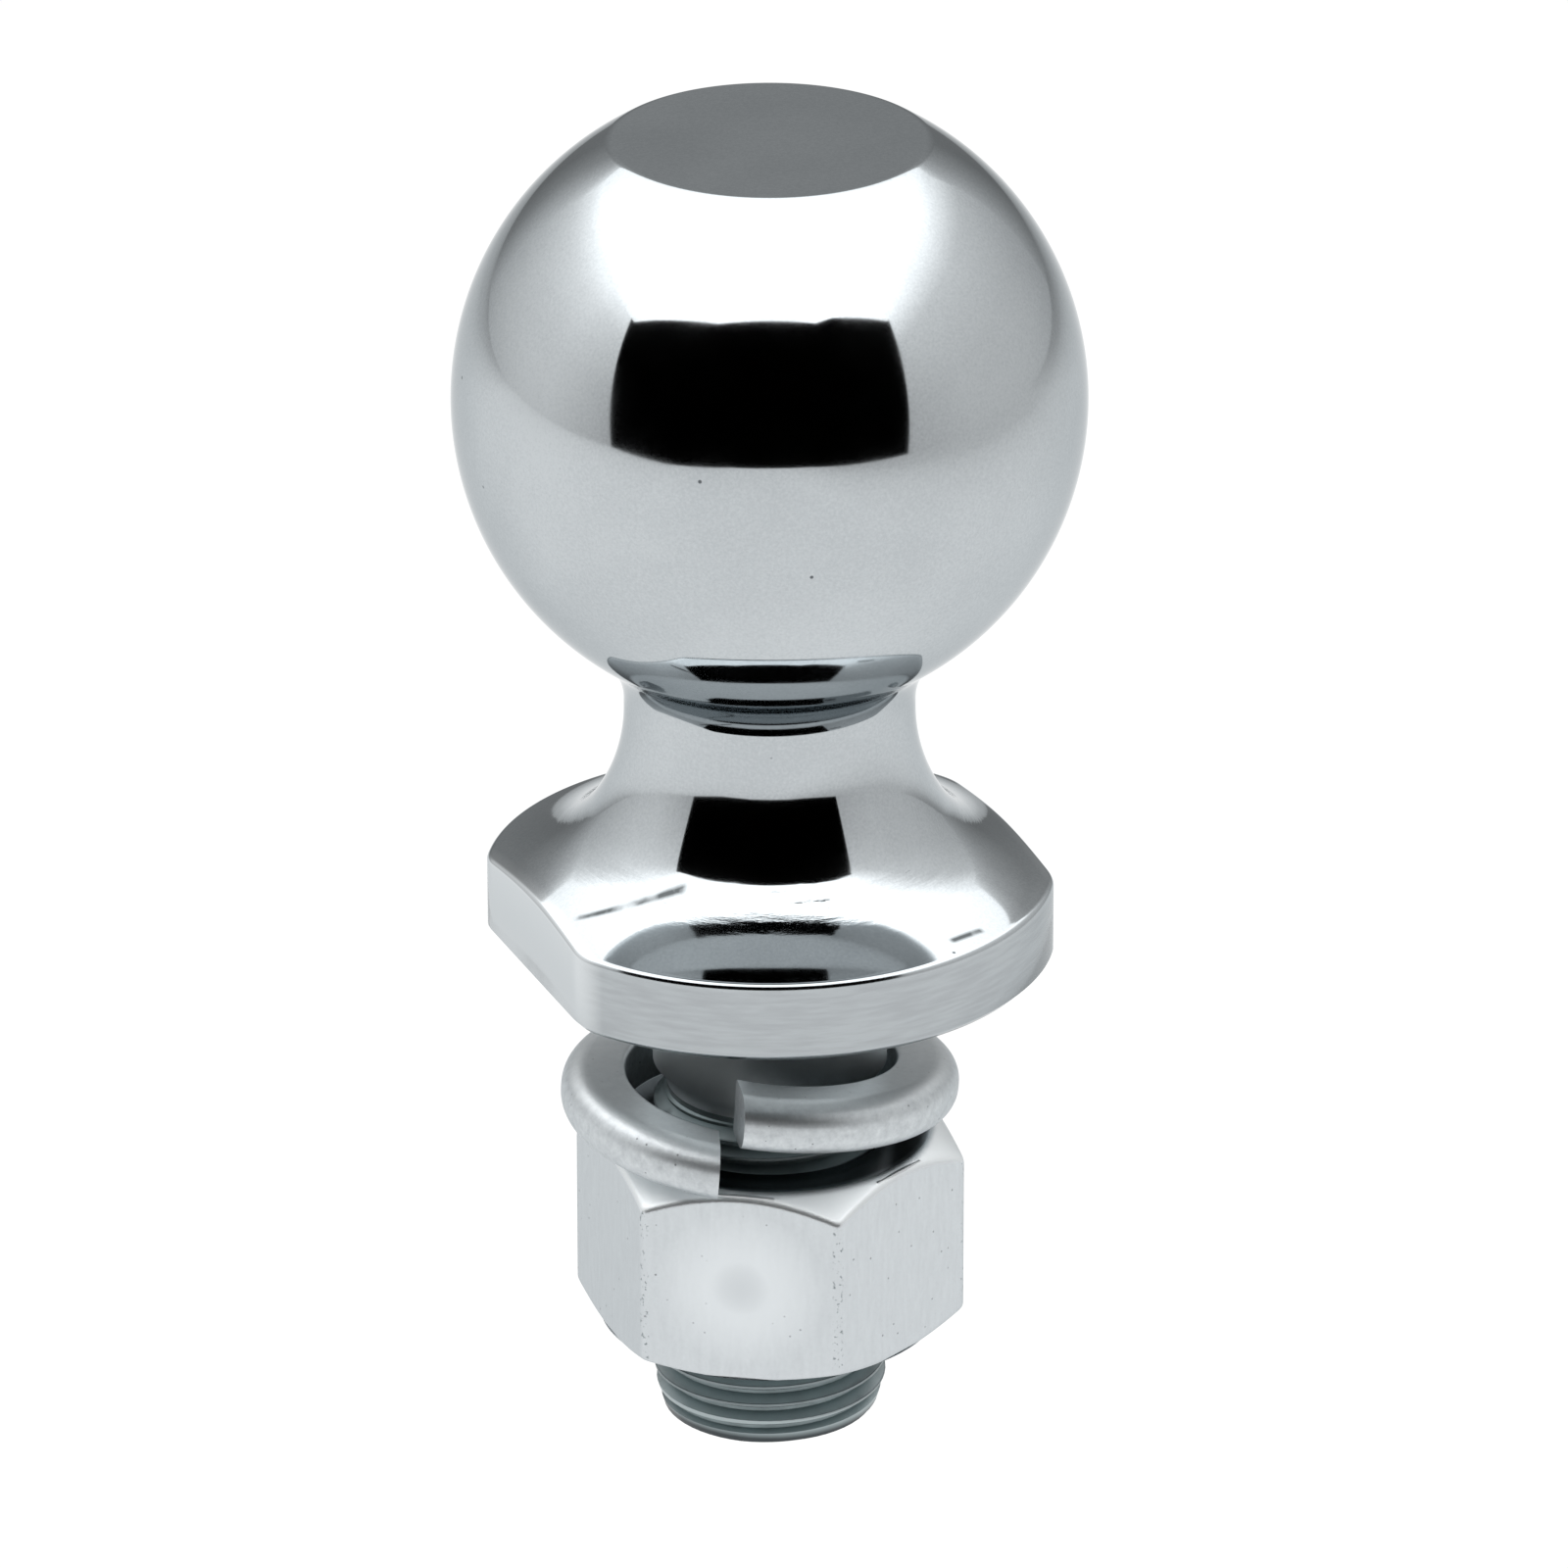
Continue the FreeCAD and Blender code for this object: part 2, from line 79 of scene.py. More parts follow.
# The nut.
NUT_HALF_ACROSS = 14.0 * MM
NUT_TURN = math.radians(-1.7)
NUT_CORNER = 0.8 * MM
NUT_FACE = 13.5 * MM
NUT_MOUTH = 9.9 * MM
BORE_REACH = NUT_MOUTH + 0.02 * MM  # faces of the CAD nut that reach farther out are its outside
NUT_TOP_SLOPE = math.radians(38.0)
NUT_FOOT_SLOPE = math.radians(26.0)
NUT_EDGE = 0.5 * MM
SOFT_STEPS = 5  # faces across a softened edge of the nut

COLUMNS = 480  # faces round a turned piece
CREASE = math.radians(32.0)  # sharper edges than this stay sharp
WELD = 0.001 * MM  # vertices closer than this are one

# The camera looks at the ball from this side, and the light tent is square to it.
VIEW_AZIMUTH = math.radians(-112.0)
VIEW_ELEVATION = math.radians(24.0)
STUDIO_TURN = Matrix.Rotation(VIEW_AZIMUTH + math.pi / 2, 4, "Z")


# ---------------------------------------------------------------- shapes

def bend(centre, radius, start, end, steps):
    """Points (radius, height) along an arc of a section, both ends included."""
    turns = [start + (end - start) * i / steps for i in range(steps + 1)]
    return [(centre[0] + radius * math.cos(turn), centre[1] + radius * math.sin(turn)) for turn in turns]


def bearing(start, end):
    """Direction from one point of a section to another, as an angle above the horizontal."""
    return math.atan2(end[1] - start[1], end[0] - start[0])


def head_section(wall):
    """Section from the flat top to the relief groove, for a flange whose wall stands this far out."""
    ball = (0.0, BALL_HEIGHT)
    edge_height = BALL_HEIGHT + FLAT_RISE - FLAT_EDGE
    edge = (math.sqrt((BALL_RADIUS - FLAT_EDGE) ** 2 - (FLAT_RISE - FLAT_EDGE) ** 2), edge_height)
    blend_radius = NECK_RADIUS + NECK_BLEND
    blend = (blend_radius, BALL_HEIGHT - math.sqrt((BALL_RADIUS + NECK_BLEND) ** 2 - blend_radius**2))
    under = bearing(ball, blend)

    points = [(edge[0] - inset, edge_height + FLAT_EDGE) for inset in FLAT_RING_INSETS]
    points += bend(edge, FLAT_EDGE, math.pi / 2, bearing(ball, edge), steps=14)
    points += bend(ball, BALL_RADIUS, bearing(ball, edge), under, steps=110)[1:]
    points += bend(blend, NECK_BLEND, under + math.pi, math.pi, steps=24)[1:]
    points.append((NECK_RADIUS, NECK_FOOT))

    # each sweep starts where the last one ends, with the surface's normal turned up by its angle
    foot = points[-1]
    turn = 0.0
    for radius, angle in SWEEPS:
        middle = (foot[0] + radius * math.cos(turn), foot[1] + radius * math.sin(turn))
        points += bend(middle, -radius, turn, turn + angle, steps=26)[1:]
        turn += angle
        foot = points[-1]
    middle = (foot[0] + LAST_SWEEP * math.cos(turn), foot[1] + LAST_SWEEP * math.sin(turn))
    rim_reach = middle[0] - (wall - RIM)
    rim = (wall - RIM, middle[1] - math.sqrt((LAST_SWEEP + RIM) ** 2 - rim_reach**2))
    meet = bearing(rim, middle)
    points += bend(middle, -LAST_SWEEP, turn, meet, steps=20)[1:]
    points += bend(rim, RIM, meet, 0.0, steps=10)[1:]
    points += [(wall, BEVEL), (wall - BEVEL, 0.0), (SHANK_RADIUS, 0.0), (SHANK_RADIUS, -PLAIN_LENGTH)]
    relief_top = -PLAIN_LENGTH - (SHANK_RADIUS - RELIEF_RADIUS)
    return points + [(RELIEF_RADIUS, relief_top), (RELIEF_RADIUS, THREAD_START)]


def flange_outline(turn):
    """How far the flange's wall stands from the axis: round, with two flats and rounded corners between."""
    across = abs(math.cos(turn))
    along = abs(math.sin(turn))
    corner_x = HALF_ACROSS - FLAT_CORNER
    corner_y = math.sqrt((FLANGE_RADIUS - FLAT_CORNER) ** 2 - corner_x**2)
    # the corner's arc runs from the end of the flat to the bearing of its own centre
    if along * corner_x > across * corner_y:
        return FLANGE_RADIUS
    if along * HALF_ACROSS < across * corner_y:
        return HALF_ACROSS / across
    reach = corner_x * across + corner_y * along
    return reach + math.sqrt(reach**2 - (corner_x**2 + corner_y**2) + FLAT_CORNER**2)


def nut_outline(turn):
    """How far the nut's wall stands from the axis: a hexagon with its corners rounded."""
    sixth = math.pi / 3
    off_corner = (turn - NUT_TURN) % sixth - sixth / 2
    reach = (NUT_HALF_ACROSS - NUT_CORNER) / math.cos(sixth / 2)
    aside = reach * math.sin(off_corner)
    if abs(aside) > NUT_CORNER * math.sin(sixth / 2):
        return NUT_HALF_ACROSS / math.cos(sixth / 2 - abs(off_corner))
    return reach * math.cos(off_corner) + math.sqrt(NUT_CORNER**2 - aside**2)


def nut_section(wall):
    """Section from the upper mouth of the bore, over the outside and back to the lower mouth."""
    top, foot = nut_high.z, nut_low.z
    upper = (wall, top - (wall - NUT_FACE) * math.tan(NUT_TOP_SLOPE))
    lower = (wall, foot + (wall - NUT_FACE) * math.tan(NUT_FOOT_SLOPE))
    flat_ring = NUT_FACE - 2 * NUT_EDGE
    points = [(NUT_MOUTH, top), (flat_ring, top)]
    points += soften((NUT_MOUTH, top), (NUT_FACE, top), upper)
    points += soften((NUT_FACE, top), upper, lower)
    points += soften(upper, lower, (NUT_FACE, foot))
    points += soften(lower, (NUT_FACE, foot), (NUT_MOUTH, foot))
    return points + [(flat_ring, foot), (NUT_MOUTH, foot)]


def soften(before, corner, after):
    """A corner of a section, rounded: points of a small curve from one side to the other."""
    corner = Vector(corner)
    start = corner + (Vector(before) - corner).normalized() * NUT_EDGE
    end = corner + (Vector(after) - corner).normalized() * NUT_EDGE
    shares = [i / SOFT_STEPS for i in range(SOFT_STEPS + 1)]
    curve = [start.lerp(corner, share).lerp(corner.lerp(end, share), share) for share in shares]
    return [(point.x, point.y) for point in curve]


def lathe(mesh, outline, section):
    """Turns a section round the Z axis, its wall following the outline. Returns the rings of vertices."""
    turns = [2 * math.pi * i / COLUMNS for i in range(COLUMNS)]
    sections = [section(outline(turn)) for turn in turns]
    rings = []
    for row in range(len(sections[0])):
        spots = [(turn, *points[row]) for turn, points in zip(turns, sections)]
        rings.append([mesh.verts.new((r * math.cos(turn), r * math.sin(turn), z)) for turn, r, z in spots])
    for upper, lower in zip(rings, rings[1:]):
        for i in range(COLUMNS):
            following = (i + 1) % COLUMNS
            mesh.faces.new((upper[i], lower[i], lower[following], upper[following]))
    return rings


def cad_mesh(node):
    """The CAD node's own mesh, welded, to take a thread from."""
    mesh = bmesh.new()
    mesh.from_mesh(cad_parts[node].data)
    bmesh.ops.remove_doubles(mesh, verts=mesh.verts, dist=WELD)
    return mesh


def distance_out(vertex):
    return math.hypot(vertex.co.x, vertex.co.y)


def wear_second_material(mesh):
    """Puts the faces made so far, which are a thread, in the piece's second material."""
    for face in mesh.faces:
        face.material_index = 1


def finish_piece(name, mesh, node, body, materials):
    """Makes a bmesh into a piece that stands for a CAD node."""
    for face in mesh.faces:
        face.smooth = True
    for edge in mesh.edges:
        edge.smooth = len(edge.link_faces) == 2 and edge.calc_face_angle() < CREASE
    data = bpy.data.meshes.new(name)
    mesh.to_mesh(data)
    mesh.free()
    for material in materials:
        data.materials.append(material)
    piece = bpy.data.objects.new(name, data)
    scene.collection.objects.link(piece)
    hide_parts(node)
    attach(piece, body)
    return piece


def hitch_ball():
    """The forging: its turned head in fine mesh, and its thread as cut in the CAD model."""
    mesh = cad_mesh("hitch_ball")
    everything = mesh.verts[:] + mesh.edges[:] + mesh.faces[:]
    bmesh.ops.bisect_plane(
        mesh, geom=everything, plane_co=(0, 0, THREAD_START), plane_no=(0, 0, 1), clear_outer=True
    )
    wear_second_material(mesh)
    rings = lathe(mesh, flange_outline, head_section)
    mesh.faces.new(rings[0])
    piece = finish_piece("hitch_ball_forging", mesh, "hitch_ball", "ball", [chrome(), thread_plate()])


def hex_nut():
    """The nut: softened outside, and its bore as cut in the CAD model."""
    mesh = cad_mesh("hex_nut")
    outside = [face for face in mesh.faces if max(distance_out(vertex) for vertex in face.verts) > BORE_REACH]
    bmesh.ops.delete(mesh, geom=outside, context="FACES")
    wear_second_material(mesh)
    lathe(mesh, nut_outline, nut_section)
    piece = finish_piece("hex_nut_plated", mesh, "hex_nut", "nut", [nut_plate(), bore_plate()])


# ---------------------------------------------------------------- material nodes

def new_metal(name, grazing=(1, 1, 1)):
    """A metal: its material, its node tree and its shader. Grazing is its tint where light skims along it."""
    material = bpy.data.materials.new(name)
    material.use_nodes = True
    shader = material.node_tree.nodes["Principled BSDF"]
    shader.inputs["Metallic"].default_value = 1.0
    shader.inputs["Specular Tint"].default_value = (*grazing, 1)
    return material, material.node_tree, shader


def stretched(tree, scale):
    """Object coordinates, in millimetres, stretched by a factor on each axis."""
    coords = tree.nodes.new("ShaderNodeTexCoord")
    mapping = tree.nodes.new("ShaderNodeMapping")
    mapping.inputs["Scale"].default_value = [factor / MM for factor in scale]
    tree.links.new(coords.outputs["Object"], mapping.inputs["Vector"])
    return mapping.outputs["Vector"]


def add_noise(tree, coords, scale, detail=3.0, rough=0.5):
    """Cloudy noise round 0.5, with about this many clouds to a millimetre."""
    noise = tree.nodes.new("ShaderNodeTexNoise")
    noise.inputs["Scale"].default_value = scale
    noise.inputs["Detail"].default_value = detail
    noise.inputs["Roughness"].default_value = rough
    tree.links.new(coords, noise.inputs["Vector"])
    return noise.outputs["Fac"]


def add_specks(tree, coords, scale, size):
    """1 in small round specks scattered over the surface, 0 elsewhere, with a soft rim."""
    cells = tree.nodes.new("ShaderNodeTexVoronoi")
    cells.inputs["Scale"].default_value = scale
    tree.links.new(coords, cells.inputs["Vector"])
    core = size * 0.6
    return fade(tree, cells.outputs["Distance"], size, core)


def remap(tree, value, low, high, out_low, out_high):
    """Maps a value from one range to another, and clamps it there."""
    stretch = tree.nodes.new("ShaderNodeMapRange")
    stretch.inputs["From Min"].default_value = low
    stretch.inputs["From Max"].default_value = high
    stretch.inputs["To Min"].default_value = out_low
    stretch.inputs["To Max"].default_value = out_high
    tree.links.new(value, stretch.inputs["Value"])
    return stretch.outputs["Result"]


def fade(tree, value, none, full):
    """Runs evenly from 0, where the value is none, to 1, where it is full, and stays there beyond them."""
    return remap(tree, value, none, full, 0, 1)


def band(tree, value, low, high, soft):
    """1 where a value lies between low and high, fading to 0 over the soft width outside."""
    return product(tree, fade(tree, value, low - soft, low), fade(tree, value, high + soft, high))


def combine(tree, operation, one, other=0):
    """Math of one or two values, the second of which may be a plain number."""
    math_node = tree.nodes.new("ShaderNodeMath")
    math_node.operation = operation
    tree.links.new(one, math_node.inputs[0])
    if isinstance(other, (int, float)):
        math_node.inputs[1].default_value = other
    else:
        tree.links.new(other, math_node.inputs[1])
    return math_node.outputs[0]


def product(tree, result, *factors):
    """A value times each of the factors, which may be plain numbers."""
    for factor in factors:
        result = combine(tree, "MULTIPLY", result, factor)
    return result


def average(tree, one, other):
    return product(tree, combine(tree, "ADD", one, other), 0.5)


def mix_colours(tree, share, low, high):
    """A colour between low and high, chosen by a share from 0 to 1. Each may be a colour or a socket."""
    mix = tree.nodes.new("ShaderNodeMix")
    mix.data_type = "RGBA"
    for name, colour in (("A", low), ("B", high)):
        if isinstance(colour, tuple):
            mix.inputs[name].default_value = (*colour, 1)
        else:
            tree.links.new(colour, mix.inputs[name])
    tree.links.new(share, mix.inputs["Factor"])
    return mix.outputs["Result"]


def layered(tree, colour, *layers):
    """A colour with others laid over it in turn. Each layer is (where it lies, its colour)."""
    for where, top in layers:
        colour = mix_colours(tree, where, colour, top)
    return colour


def axis_value(tree, axis):
    """The object's own X, Y or Z in metres, as a value."""
    coords = tree.nodes.new("ShaderNodeTexCoord")
    parts = tree.nodes.new("ShaderNodeSeparateXYZ")
    tree.links.new(coords.outputs["Object"], parts.inputs[0])
    return parts.outputs[axis]


def vector_math(tree, operation, vector, other=(0, 0, 0)):
    """The node that works on a vector socket and a fixed vector."""
    work = tree.nodes.new("ShaderNodeVectorMath")
    work.operation = operation
    work.inputs[1].default_value = other
    tree.links.new(vector, work.inputs[0])
    return work


def radius_value(tree):
    """Distance from the Z axis in metres, as a value."""
    coords = tree.nodes.new("ShaderNodeTexCoord")
    level = vector_math(tree, "MULTIPLY", coords.outputs["Object"], (1, 1, 0))
    return vector_math(tree, "LENGTH", level.outputs["Vector"]).outputs["Value"]


def add_bump(tree, shader, height, depth, under=None):
    """Raises the surface by up to depth metres where the height value is 1, on top of another bump."""
    bump = tree.nodes.new("ShaderNodeBump")
    bump.inputs["Strength"].default_value = 1.0
    bump.inputs["Distance"].default_value = depth
    tree.links.new(height, bump.inputs["Height"])
    if under:
        tree.links.new(under.outputs["Normal"], bump.inputs["Normal"])
    tree.links.new(bump.outputs["Normal"], shader.inputs["Normal"])
    return bump


# ---------------------------------------------------------------- metals

# How a pattern is stretched along X, Y and Z.
EVENLY = (1, 1, 1)
ROUND_THE_AXIS = (0.35, 0.35, 3)
WIDE_RIPPLE = (0.1, 0.1, 1)
WASHER_GRAIN = (0.6, 0.6, 0.6)
NUT_GRAIN = (1, 1, 0.2)  # drawn out along the nut's height

# Colours. Where there are two, the surface wanders between them.
PLATE_GRAZING = (0.70, 0.72, 0.73)  # where light skims along chrome or zinc
CHROME = (0.455, 0.485, 0.503), (0.540, 0.573, 0.591)
PINHOLE = (0.12, 0.13, 0.14)
TURNED_STEEL = (0.39, 0.415, 0.43), (0.435, 0.465, 0.48)
WRENCH_FLAT = (0.66, 0.69, 0.705)
FLANGE_UNDERSIDE = (0.40, 0.43, 0.44)
PLAIN_SHANK = (0.72, 0.76, 0.775)
CHROME_DARK_MARK = (0.03, 0.035, 0.037)
THREAD_FLANK = (0.34, 0.395, 0.405), (0.46, 0.515, 0.525)
THREAD_ROOT = (0.24, 0.29, 0.30)
THREAD_CREST = (0.23, 0.265, 0.275)
SHANK_END = (0.06, 0.07, 0.075)
WASHER_ZINC = (0.48, 0.51, 0.53), (0.66, 0.695, 0.71)
# painted light: the near white that the washer's upward faces are lightened towards
WASHER_TOP_PAINTED_LIGHT = (0.93, 0.96, 0.97)
NUT_ZINC = (0.54, 0.57, 0.59), (0.605, 0.64, 0.66)
NUT_NICK = (0.24, 0.27, 0.28)
# painted highlight: the pool of light painted on one face of the nut
NUT_PAINTED_HIGHLIGHT = (0.72, 0.755, 0.775)
# the darker middle of that painted highlight
NUT_HIGHLIGHT_MIDDLE = (0.53, 0.56, 0.58)
# painted highlight along the nut's upper chamfer
NUT_CHAMFER_PAINTED_HIGHLIGHT = (0.86, 0.89, 0.90)
# painted shade: the dark of the inner ring of the nut's end faces
NUT_INNER_FACE_SHADE = (0.12, 0.13, 0.135)
# painted shade: the dark of the nut's bore
BORE_PAINTED_SHADE = (0.02, 0.023, 0.024), (0.06, 0.067, 0.07)

# Two thin dark lines on the flange's upper face, from one end to the other as seen from above.
LONG_DARK_LINE = (-11.6 * MM, -10.1 * MM), (-18.8 * MM, -5.9 * MM)
SHORT_DARK_LINE = (7.8 * MM, -19.8 * MM), (10.5 * MM, -18.8 * MM)
DARK_LINE_HALF_WIDTH = 0.1 * MM


def chrome():
    """Chrome over polished steel: a cool mirror, faintly wavy, with turning scratches at the flange."""
    material, tree, shader = new_metal("chrome_plate", PLATE_GRAZING)
    height = axis_value(tree, "Z")
    radius = radius_value(tree)
    far_out = fade(tree, radius, FLANGE_RADIUS - 0.4 * MM, FLANGE_RADIUS - 0.1 * MM)
    wall = product(tree, far_out, fade(tree, height, 7.0 * MM, 6.0 * MM))
    off_shank = fade(tree, radius, 9.7 * MM, 9.9 * MM)
    underside = product(tree, off_shank, fade(tree, height, 0.3 * MM, 0.02 * MM))
    shank = fade(tree, height, 0.0, -0.1 * MM)
    tree.links.new(chrome_colour(tree, height, wall, underside, shank), shader.inputs["Base Color"])
    tree.links.new(chrome_roughness(tree, wall, underside, shank), shader.inputs["Roughness"])
    chrome_relief(tree, shader, height)
    return material


def chrome_colour(tree, height, wall, underside, shank):
    """A cloudy, cool mirror with a few pinholes. The flange's outside and the shank differ from it."""
    even = stretched(tree, EVENLY)
    grain = add_noise(tree, even, 4.0, detail=2.0, rough=0.7)
    mottle = average(tree, add_noise(tree, even, 0.06), grain)
    mirror = mix_colours(tree, fade(tree, mottle, 0.38, 0.62), *CHROME)
    turning = add_noise(tree, stretched(tree, ROUND_THE_AXIS), 0.8, detail=3.0)
    turned_steel = mix_colours(tree, fade(tree, turning, 0.35, 0.65), *TURNED_STEEL)
    off_centre = combine(tree, "ABSOLUTE", axis_value(tree, "X"))
    below_rim = fade(tree, height, 9.5 * MM, 8.5 * MM)
    flats = product(tree, below_rim, fade(tree, off_centre, 19.4 * MM, 20.6 * MM))
    return layered(
        tree, mirror,
        (add_specks(tree, even, 0.16, 0.03), PINHOLE),
        (wall, turned_steel),
        (flats, WRENCH_FLAT),
        (underside, FLANGE_UNDERSIDE),
        (shank, PLAIN_SHANK),
        (dark_marks(tree, height), CHROME_DARK_MARK),
    )


def dark_marks(tree, height):
    """1 where the chrome is dark: in flecks round the flange's rim, where steel shows through, and along two
    thin lines.
    """
    flecks = add_noise(tree, stretched(tree, ROUND_THE_AXIS), 0.7, detail=4.0, rough=0.7)
    beside_rim = band(tree, height, 10.3 * MM, 11.0 * MM, 0.6 * MM)
    missed = product(tree, fade(tree, flecks, 0.65, 0.70), beside_rim)
    # two thin dark lines on the flange's upper face, darker in patches
    dark_lines = combine(tree, "MAXIMUM", dark_line(tree, *LONG_DARK_LINE), dark_line(tree, *SHORT_DARK_LINE))
    patchy = remap(tree, add_noise(tree, stretched(tree, EVENLY), 0.5), 0.38, 0.6, 0.25, 0.9)
    return combine(tree, "MAXIMUM", missed, product(tree, dark_lines, patchy))


def dark_line(tree, start, end):
    """1 along a thin line on the flange's upper face, from start to end as seen from above."""
    line = Vector(end) - Vector(start)
    along = line.normalized()
    across = Vector((-along.y, along.x))
    coords = tree.nodes.new("ShaderNodeTexCoord")
    offset = vector_math(tree, "SUBTRACT", coords.outputs["Object"], (*start, 0)).outputs["Vector"]
    far_along = vector_math(tree, "DOT_PRODUCT", offset, (*along, 0)).outputs["Value"]
    far_aside = vector_math(tree, "DOT_PRODUCT", offset, (*across, 0)).outputs["Value"]
    length = band(tree, far_along, 0, line.length, 0.5 * MM)
    width = band(tree, far_aside, -DARK_LINE_HALF_WIDTH, DARK_LINE_HALF_WIDTH, 0.3 * MM)
    upper_face = band(tree, axis_value(tree, "Z"), 6.5 * MM, 11.5 * MM, 0.3 * MM)
    return product(tree, length, width, upper_face)


def chrome_roughness(tree, wall, underside, shank):
    """Mirror smooth but for faint smudges, and satin on the flange's wall, its underside and the shank."""
    smudge = add_noise(tree, stretched(tree, EVENLY), 0.14, detail=5.0)
    polish = remap(tree, smudge, 0.4, 0.7, 0.045, 0.085)
    satin_flange = product(tree, combine(tree, "MAXIMUM", wall, underside), 0.16)
    satin = combine(tree, "ADD", satin_flange, product(tree, shank, 0.35))
    return combine(tree, "ADD", polish, satin)


def chrome_relief(tree, shader, height):
    """Faint waves all over, with scratches and ripples left by turning round the flange's rim."""
    wave = add_noise(tree, stretched(tree, EVENLY), 0.09, detail=1.0)
    waviness = add_bump(tree, shader, wave, 0.01 * MM)
    streaks = add_noise(tree, stretched(tree, ROUND_THE_AXIS), 0.9, detail=4.0, rough=0.65)
    scratches = product(tree, streaks, band(tree, height, 9.3 * MM, 11.0 * MM, 0.8 * MM))
    scratched = add_bump(tree, shader, scratches, 0.014 * MM, under=waviness)
    ripple = add_noise(tree, stretched(tree, WIDE_RIPPLE), 0.8, detail=1.0)
    ripples = product(tree, ripple, band(tree, height, 9.5 * MM, 10.8 * MM, 1.2 * MM))
    add_bump(tree, shader, ripples, 0.025 * MM, under=scratched)


def grimy_metal(name, smoothest, roughest):
    """Dull metal with uneven grime on it. Returns the grime too, for its colour."""
    material, tree, shader = new_metal(name)
    grime = add_noise(tree, stretched(tree, EVENLY), 0.7, detail=4.0)
    tree.links.new(remap(tree, grime, 0.3, 0.7, smoothest, roughest), shader.inputs["Roughness"])
    add_bump(tree, shader, grime, 0.02 * MM)
    return material, tree, shader, grime


def thread_plate():
    """Thin, dull plate in the thread, with dark roots, lines along its crests and a dark end."""
    material, tree, shader, grime = grimy_metal("thread_plate", 0.35, 0.5)
    radius = radius_value(tree)
    colour = layered(
        tree, THREAD_ROOT,
        (fade(tree, radius, 8.6 * MM, 9.48 * MM), mix_colours(tree, grime, *THREAD_FLANK)),
        (fade(tree, radius, 9.38 * MM, 9.44 * MM), THREAD_CREST),
        (fade(tree, axis_value(tree, "Z"), -40.0 * MM, -40.6 * MM), SHANK_END),
    )
    tree.links.new(colour, shader.inputs["Base Color"])
    return material


def bore_plate():
    """The nut's thread, dark with painted shade inside the bore."""
    material, tree, shader, grime = grimy_metal("bore_plate", 0.3, 0.45)
    # painted shade inside the bore
    tree.links.new(mix_colours(tree, grime, *BORE_PAINTED_SHADE), shader.inputs["Base Color"])
    return material


def zinc_grain(tree, shader, grain_stretch):
    """Gives a metal zinc's fine, rough grain. Returns its mottle: how light each place is, from 0 to 1."""
    grain = add_noise(tree, stretched(tree, EVENLY), 3.0, detail=4.0, rough=0.75)
    drawn = add_noise(tree, stretched(tree, grain_stretch), 2.0, detail=3.0)
    add_bump(tree, shader, grain, 0.012 * MM)
    return average(tree, drawn, grain)


def zinc_colour(tree, mottle, dim, bright):
    """Mottled zinc with a few pits, half as bright as the zinc is at its dimmest."""
    tint = mix_colours(tree, fade(tree, mottle, 0.3, 0.7), dim, bright)
    pit = tuple(part / 2 for part in dim)
    return mix_colours(tree, add_specks(tree, stretched(tree, EVENLY), 0.8, 0.09), tint, pit)


def washer_plate():
    """The washer's zinc, with painted light on its upper face: brighter where it faces up."""
    material, tree, shader = new_metal("zinc_washer", PLATE_GRAZING)
    mottle = zinc_grain(tree, shader, WASHER_GRAIN)
    geometry = tree.nodes.new("ShaderNodeNewGeometry")
    facing = tree.nodes.new("ShaderNodeSeparateXYZ")
    tree.links.new(geometry.outputs["Normal"], facing.inputs[0])
    # painted light: up to half way to a near white where the surface faces up
    upper = remap(tree, facing.outputs["Z"], 0.6, 0.95, 0, 0.5)
    colour = layered(tree, zinc_colour(tree, mottle, *WASHER_ZINC), (upper, WASHER_TOP_PAINTED_LIGHT))
    tree.links.new(colour, shader.inputs["Base Color"])
    tree.links.new(remap(tree, mottle, 0.35, 0.65, 0.46, 0.38), shader.inputs["Roughness"])
    return material


def nut_plate():
    """The nut's zinc: nicked corners, a painted highlight with a darker middle on one face, a painted
    highlight along the upper chamfer and painted shade on the inner ring of its end faces.
    """
    material, tree, shader = new_metal("zinc_nut", PLATE_GRAZING)
    mottle = zinc_grain(tree, shader, NUT_GRAIN)
    radius = radius_value(tree)
    height = axis_value(tree, "Z")
    corners = fade(tree, radius, 15.88 * MM, 15.96 * MM)
    nicks = fade(tree, add_noise(tree, stretched(tree, EVENLY), 3.0, detail=3.0), 0.58, 0.68)
    out_squared = off_face_middle_squared(tree, radius, height)
    one_face = on_one_face(tree)
    # painted highlight: a round pool of light on one face, with a darker spot at its middle
    painted_highlight_spot = remap(tree, out_squared, (3 * MM) ** 2, (7 * MM) ** 2, 0.7, 0)
    highlight_middle = remap(tree, out_squared, 0, (2.4 * MM) ** 2, 0.6, 0)
    # painted highlight: the upper chamfer's edge is made brighter, and rougher too
    chamfer = on_upper_chamfer(tree, radius, height)
    colour = layered(
        tree, zinc_colour(tree, mottle, *NUT_ZINC),
        (product(tree, corners, nicks), NUT_NICK),
        (product(tree, painted_highlight_spot, one_face), NUT_PAINTED_HIGHLIGHT),
        (product(tree, highlight_middle, one_face), NUT_HIGHLIGHT_MIDDLE),
        (chamfer, NUT_CHAMFER_PAINTED_HIGHLIGHT),
        # painted shade on the inner ring of the end faces, near the bore
        (fade(tree, radius, 13.2 * MM, 12.6 * MM), NUT_INNER_FACE_SHADE),
    )
    tree.links.new(colour, shader.inputs["Base Color"])
    tree.links.new(remap(tree, chamfer, 0, 1, 0.2, 0.5), shader.inputs["Roughness"])
    return material


